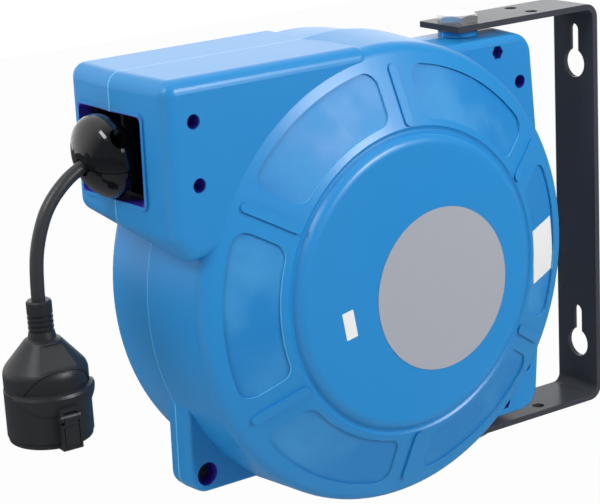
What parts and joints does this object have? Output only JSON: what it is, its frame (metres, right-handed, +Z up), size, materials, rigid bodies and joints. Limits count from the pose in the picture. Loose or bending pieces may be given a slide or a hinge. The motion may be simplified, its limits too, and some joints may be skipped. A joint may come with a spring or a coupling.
{
  "type": "wall-mounted extension cable reel",
  "caption": "Spring-return power cable reel: round plastic housing swivelling in a steel wall bracket, with roller guide, ball stop and hanging coupling socket.",
  "frame": {"origin": "on the wall face of the bracket, at the middle of its width and height", "axes": "+Z up, +X into the wall, the front of the reel looks along -Y, the cable leaves along -X"},
  "size_m": [0.4584, 0.1437, 0.296],
  "materials": {
    "blue_shell": "moulded, faintly textured",
    "black_paint": "gloss black",
    "steel": "zinc plated",
    "brass": "bright",
    "black_gloss": "polished",
    "black_rubber": "satin",
    "black_plastic": "satin",
    "white_plastic": "plain",
    "label": "plain printed film",
    "phenolic": "plain",
    "red_plastic": "plain",
    "dark_steel": "oiled strip"
  },
  "bodies": {
    "bracket": {"wall_bracket": "black_paint", "pivot_bolts": "steel", "pivot_washers": "white_plastic", "pivot_nuts": "steel"},
    "housing": {"front_shell": "blue_shell", "rear_shell": "blue_shell", "pivot_bushes": "blue_shell", "shell_screws": "steel", "shell_nuts": "steel", "front_label": "label", "axle": "steel", "axle_nut": "steel", "spring_arbor": "steel", "guide_frame": "black_plastic", "roller_pins": "steel", "brush_holder": "black_plastic", "brush_leaves": "brass", "thermal_cutout": "black_plastic", "supply_gland": "black_plastic", "gland_nut": "black_plastic", "pawl_pin": "steel", "pawl_spring": "steel"},
    "drum": {"drum_hub": "black_plastic", "front_flange": "black_plastic", "drum_screws": "steel", "hub_bushes": "white_plastic", "spring_case": "black_plastic", "spring_cover": "steel", "cover_screws": "steel", "return_spring": "dark_steel", "slip_ring_carrier": "phenolic", "slip_rings": "brass", "ratchet_ring": "white_plastic", "cable_core": "black_rubber", "cable_outer_layer": "black_rubber", "cable_clamp": "white_plastic"},
    "cable_end": {"cable_lead": "black_rubber", "ball_upper": "black_gloss", "ball_lower": "black_gloss", "ball_screws": "steel", "ball_nuts": "steel", "cable_tail": "black_rubber", "coupling_body": "black_rubber", "coupling_insert": "black_plastic", "contact_sleeves": "brass", "earth_clips": "brass", "insert_screw": "steel", "lid_pin": "steel", "lid_spring": "steel"},
    "coupling_lid": {"coupling_lid": "black_rubber"},
    "roller_top": {"roller_top": "white_plastic"},
    "roller_bottom": {"roller_bottom": "white_plastic"},
    "roller_front": {"roller_front": "white_plastic"},
    "roller_rear": {"roller_rear": "white_plastic"},
    "pawl": {"pawl": "brass"},
    "reset_button": {"reset_button": "red_plastic"}
  },
  "joints": [
    {"name": "swivel", "type": "hinge", "parent": "bracket", "child": "housing", "pos_m": [-0.108, 0, 0], "axis": [0, 0, 1], "range_deg": [-90, 90]},
    {"name": "drum_spin", "type": "hinge", "parent": "housing", "child": "drum", "pos_m": [-0.212, 0, 0], "axis": [0, -1, 0], "range_deg": [0, 71], "stiffness_Nm_per_rad": 0.6, "springref_deg": -171.89},
    {"name": "cable_pull", "type": "slide", "parent": "housing", "child": "cable_end", "axis": [-1, 0, 0], "range_m": [0, 0.12]},
    {"name": "coupling_lid_hinge", "type": "hinge", "parent": "cable_end", "child": "coupling_lid", "pos_m": [-0.4333, -0.02345, -0.04574], "axis": [-0.9959, 0.0872, -0.0261], "range_deg": [0, 100], "stiffness_Nm_per_rad": 0.02, "springref_deg": -45.84},
    {"name": "roller_top_spin", "type": "hinge", "parent": "housing", "child": "roller_top", "pos_m": [-0.3405, 0.003, 0.10715], "axis": [0, 1, 0], "continuous": true},
    {"name": "roller_bottom_spin", "type": "hinge", "parent": "housing", "child": "roller_bottom", "pos_m": [-0.3405, 0.003, 0.08585], "axis": [0, 1, 0], "continuous": true},
    {"name": "roller_front_spin", "type": "hinge", "parent": "housing", "child": "roller_front", "pos_m": [-0.3555, -0.00765, 0.0965], "axis": [0, 0, 1], "continuous": true},
    {"name": "roller_rear_spin", "type": "hinge", "parent": "housing", "child": "roller_rear", "pos_m": [-0.3555, 0.01365, 0.0965], "axis": [0, 0, 1], "continuous": true},
    {"name": "pawl_swing", "type": "hinge", "parent": "housing", "child": "pawl", "pos_m": [-0.212, 0.0427, -0.074], "axis": [0, -1, 0], "range_deg": [0, 42], "stiffness_Nm_per_rad": 0.01, "springref_deg": -22.92},
    {"name": "reset_press", "type": "slide", "parent": "housing", "child": "reset_button", "axis": [0, -1, 0], "range_m": [0, 0.003], "stiffness_N_per_m": 400, "springref_m": -0.003}
  ],
  "couplings": [
    {"joint": "cable_pull", "follows": "drum_spin", "m_per_rad": 0.0965}
  ]
}
